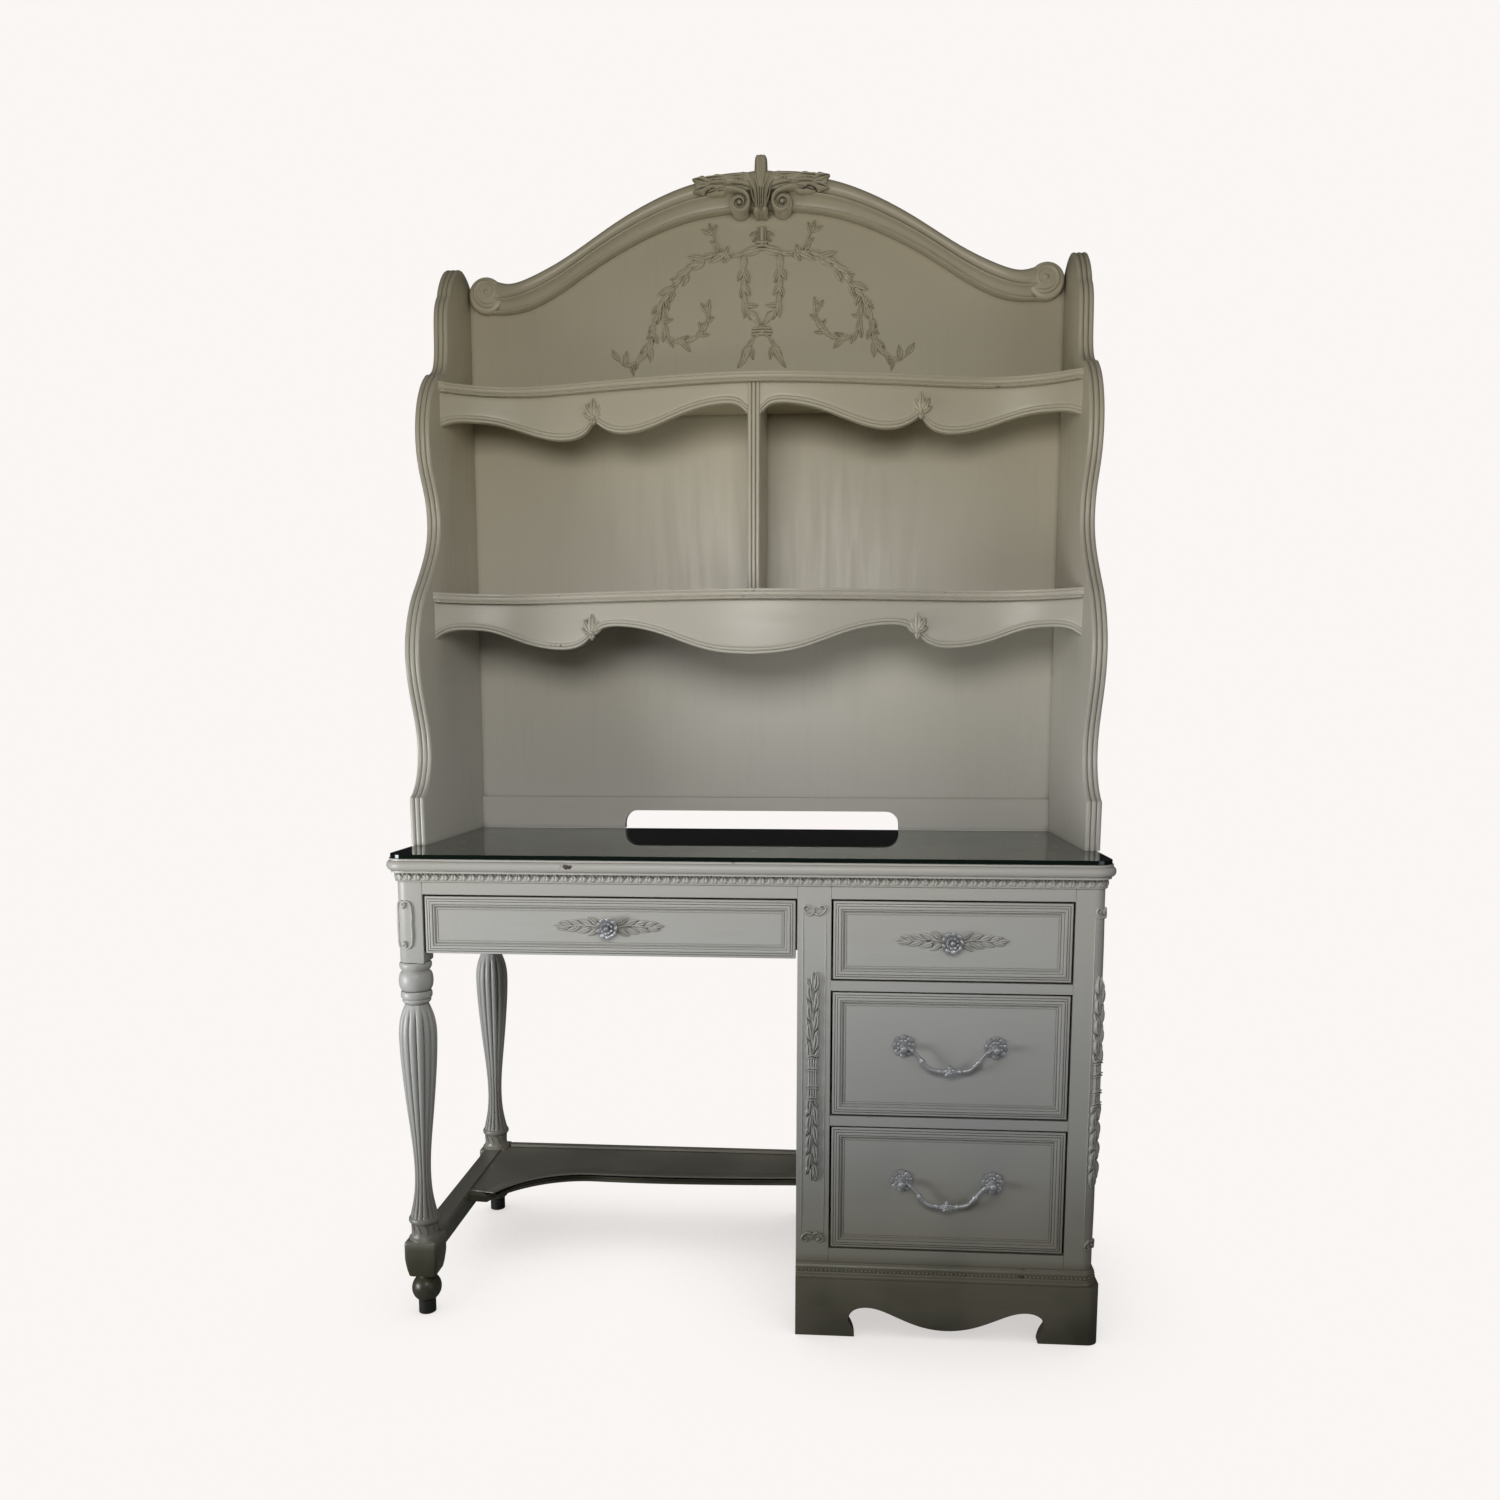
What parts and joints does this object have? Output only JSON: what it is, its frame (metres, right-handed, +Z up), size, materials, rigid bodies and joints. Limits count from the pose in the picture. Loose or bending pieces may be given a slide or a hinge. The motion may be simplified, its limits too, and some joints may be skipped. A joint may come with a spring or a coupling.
{
  "type": "desk hutch on a writing desk",
  "caption": "Scroll-crowned two-shelf hutch standing on a kneehole writing desk with a drawer pedestal, turned legs, carved trim and bail pulls.",
  "frame": {"origin": "centre of the footprint, on the floor", "axes": "+Z up, +X to the right of a person sitting at the desk, the sitter is on the -Y side"},
  "size_m": [1.126, 0.496, 1.9551],
  "materials": {
    "painted_wood": "antique white paint, satin, with a brown glaze left in the grooves and worn edges",
    "carved_trim": "carved and applied ornament in the same white paint, with more glaze in its hollows",
    "drawer_wood": "clear-sealed poplar, sanded",
    "glass": "clear float glass with polished edges",
    "clear_bumper": "clear soft pads",
    "zinc_steel": "zinc-plated steel",
    "pull_metal": "cast metal, antiqued silver-white, with dark hollows",
    "black_glide": "black moulded glide"
  },
  "bodies": {
    "desk_and_hutch": {"back_apron": "painted_wood", "back_left_leg": "painted_wood", "base_bead": "carved_trim", "base_plinth_front": "painted_wood", "base_plinth_sides": "painted_wood", "centre_drawer_runners": "drawer_wood", "desk_top": "painted_wood", "desk_top_bead": "carved_trim", "front_left_leg": "painted_wood", "front_top_rail": "painted_wood", "glass_bumpers": "clear_bumper", "glass_top": "glass", "hutch_apron_carvings": "carved_trim", "hutch_back_panel": "painted_wood", "hutch_back_rail": "painted_wood", "hutch_centre_divider": "painted_wood", "hutch_crest_carving": "carved_trim", "hutch_crown_left": "painted_wood", "hutch_crown_right": "painted_wood", "hutch_dowels": "drawer_wood", "hutch_garland_carving": "carved_trim", "hutch_lower_apron": "painted_wood", "hutch_lower_shelf": "painted_wood", "hutch_screws": "zinc_steel", "hutch_side_left": "painted_wood", "hutch_side_right": "painted_wood", "hutch_tie_plates": "zinc_steel", "hutch_upper_aprons": "painted_wood", "hutch_upper_shelf": "painted_wood", "left_apron": "painted_wood", "leg_glides": "black_glide", "pedestal_back": "painted_wood", "pedestal_bottom": "drawer_wood", "pedestal_corner_post": "painted_wood", "pedestal_drawer_runners": "drawer_wood", "pedestal_left_side": "painted_wood", "pedestal_left_stile": "painted_wood", "pedestal_rails": "painted_wood", "pedestal_right_side": "painted_wood", "plinth_corner_blocks": "drawer_wood", "post_carvings": "carved_trim", "shelf_stretcher": "painted_wood", "side_stretcher": "painted_wood"},
    "centre_drawer": {"centre_drawer_front": "painted_wood", "centre_drawer_box": "drawer_wood", "centre_drawer_knob": "pull_metal", "centre_drawer_spray": "carved_trim"},
    "top_drawer": {"top_drawer_front": "painted_wood", "top_drawer_box": "drawer_wood", "top_drawer_knob": "pull_metal", "top_drawer_spray": "carved_trim"},
    "middle_drawer": {"middle_drawer_front": "painted_wood", "middle_drawer_box": "drawer_wood", "middle_drawer_pull_posts": "pull_metal"},
    "bottom_drawer": {"bottom_drawer_front": "painted_wood", "bottom_drawer_box": "drawer_wood", "bottom_drawer_pull_posts": "pull_metal"},
    "middle_bail": {"middle_drawer_bail": "pull_metal"},
    "bottom_bail": {"bottom_drawer_bail": "pull_metal"}
  },
  "joints": [
    {"name": "centre_drawer_slide", "type": "slide", "parent": "desk_and_hutch", "child": "centre_drawer", "axis": [0, -1, 0], "range_m": [0, 0.26]},
    {"name": "top_drawer_slide", "type": "slide", "parent": "desk_and_hutch", "child": "top_drawer", "axis": [0, -1, 0], "range_m": [0, 0.28]},
    {"name": "middle_drawer_slide", "type": "slide", "parent": "desk_and_hutch", "child": "middle_drawer", "axis": [0, -1, 0], "range_m": [0, 0.28]},
    {"name": "bottom_drawer_slide", "type": "slide", "parent": "desk_and_hutch", "child": "bottom_drawer", "axis": [0, -1, 0], "range_m": [0, 0.28]},
    {"name": "middle_bail_hinge", "type": "hinge", "parent": "middle_drawer", "child": "middle_bail", "pos_m": [0.32, -0.236, 0.4735], "axis": [-1, 0, 0], "range_deg": [0, 85]},
    {"name": "bottom_bail_hinge", "type": "hinge", "parent": "bottom_drawer", "child": "bottom_bail", "pos_m": [0.32, -0.236, 0.2565], "axis": [-1, 0, 0], "range_deg": [0, 85]}
  ]
}
